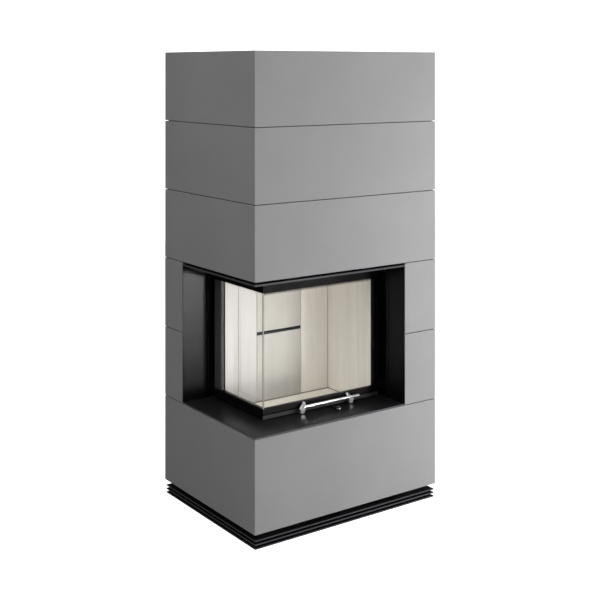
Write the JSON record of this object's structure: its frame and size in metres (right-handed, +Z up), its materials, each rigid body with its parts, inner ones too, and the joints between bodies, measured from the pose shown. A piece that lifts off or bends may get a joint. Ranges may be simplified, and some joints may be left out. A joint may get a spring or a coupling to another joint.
{
  "type": "corner fireplace",
  "caption": "Tall corner fireplace: cast stone blocks around a steel firebox with an L-shaped glass lift door, black hearth sill and finned plinth.",
  "frame": {"origin": "centre of the rectangular footprint, on the floor", "axes": "+Z up; +X to the right along the long front face; -Y towards the room; the glass corner is at -X, -Y"},
  "size_m": [1.016, 0.786, 2.1],
  "materials": {
    "cast_stone": null,
    "black_steel": "black semi-gloss powder coat on steel",
    "body_steel": "matt black heat-resistant paint on sheet steel",
    "galvanised_steel": "galvanised steel",
    "polished_steel": "polished stainless steel",
    "fireclay": null,
    "ceramic_glass": "clear glass ceramic",
    "glass_sealant": "grey heat-proof silicone between the panes' edges",
    "fibre_seal": "black braided glass-fibre rope",
    "cast_iron": "rough cast iron"
  },
  "bodies": {
    "fireplace": {"plinth_fin_lower": "black_steel", "plinth_fin_middle": "black_steel", "plinth_fin_upper": "black_steel", "plinth_frame": "black_steel", "base_block": "cast_stone", "surround_block_lower": "cast_stone", "surround_block_upper": "cast_stone", "lintel_block": "cast_stone", "upper_block": "cast_stone", "top_block": "cast_stone", "hearth_sill": "black_steel", "reveal_left": "black_steel", "reveal_right": "black_steel", "lintel_support_frame": "black_steel", "firebox_body": "body_steel", "lining_floor": "fireclay", "lining_back_end": "fireclay", "lining_back_left": "fireclay", "lining_back_centre_lower": "fireclay", "lining_back_centre_upper": "fireclay", "lining_back_right": "fireclay", "lining_right": "fireclay", "baffle_plate": "fireclay", "secondary_air_duct": "body_steel", "smoke_dome": "body_steel", "flue_pipe": "body_steel", "insert_stand": "body_steel", "air_box": "galvanised_steel", "air_spigot": "galvanised_steel", "guide_rail_left": "black_steel", "guide_rail_right": "black_steel", "pulley_bracket_left": "galvanised_steel", "pulley_bracket_right": "galvanised_steel", "pulley_axle_left": "polished_steel", "pulley_axle_right": "polished_steel", "rope_door_left": "galvanised_steel", "rope_door_right": "galvanised_steel", "rope_weight_left": "galvanised_steel", "rope_weight_right": "galvanised_steel", "top_cover": "body_steel"},
    "door": {"door_rail_bottom": "body_steel", "door_rail_top": "body_steel", "door_stile_front": "body_steel", "door_stile_side": "body_steel", "glass_front": "ceramic_glass", "glass_side": "ceramic_glass", "glass_corner_seam": "glass_sealant", "door_seal": "fibre_seal", "handle_bar": "polished_steel", "handle_bracket_left": "polished_steel", "handle_bracket_right": "polished_steel", "door_carriage_left": "body_steel", "door_carriage_right": "body_steel"},
    "air_control": {"air_lever": "body_steel", "air_lever_knob": "polished_steel", "air_shutter": "galvanised_steel"},
    "pulley_left": {"pulley_left": "cast_iron"},
    "pulley_right": {"pulley_right": "cast_iron"},
    "counterweight_left": {"counterweight_left": "cast_iron"},
    "counterweight_right": {"counterweight_right": "cast_iron"}
  },
  "joints": [
    {"name": "door_lift", "type": "slide", "parent": "fireplace", "child": "door", "axis": [0, 0, 1], "range_m": [0, 0.56], "deforming": ["rope_door_left", "rope_door_right"]},
    {"name": "counterweight_left_slide", "type": "slide", "parent": "fireplace", "child": "counterweight_left", "axis": [0, 0, -1], "range_m": [0, 0.56], "deforming": ["rope_weight_left"]},
    {"name": "counterweight_right_slide", "type": "slide", "parent": "fireplace", "child": "counterweight_right", "axis": [0, 0, -1], "range_m": [0, 0.56], "deforming": ["rope_weight_right"]},
    {"name": "pulley_left_turn", "type": "hinge", "parent": "fireplace", "child": "pulley_left", "pos_m": [-0.344, 0.2765, 1.881], "axis": [-1, 0, 0], "range_deg": [0, 920]},
    {"name": "pulley_right_turn", "type": "hinge", "parent": "fireplace", "child": "pulley_right", "pos_m": [0.3715, -0.22, 1.881], "axis": [0, 1, 0], "range_deg": [0, 920]},
    {"name": "air_slide", "type": "slide", "parent": "fireplace", "child": "air_control", "axis": [1, 0, 0], "range_m": [-0.04, 0.04]}
  ],
  "couplings": [
    {"joint": "counterweight_left_slide", "follows": "door_lift", "ratio": 1},
    {"joint": "counterweight_right_slide", "follows": "door_lift", "ratio": 1},
    {"joint": "pulley_left_turn", "follows": "door_lift", "rad_per_m": 28.571},
    {"joint": "pulley_right_turn", "follows": "door_lift", "rad_per_m": 28.571}
  ]
}
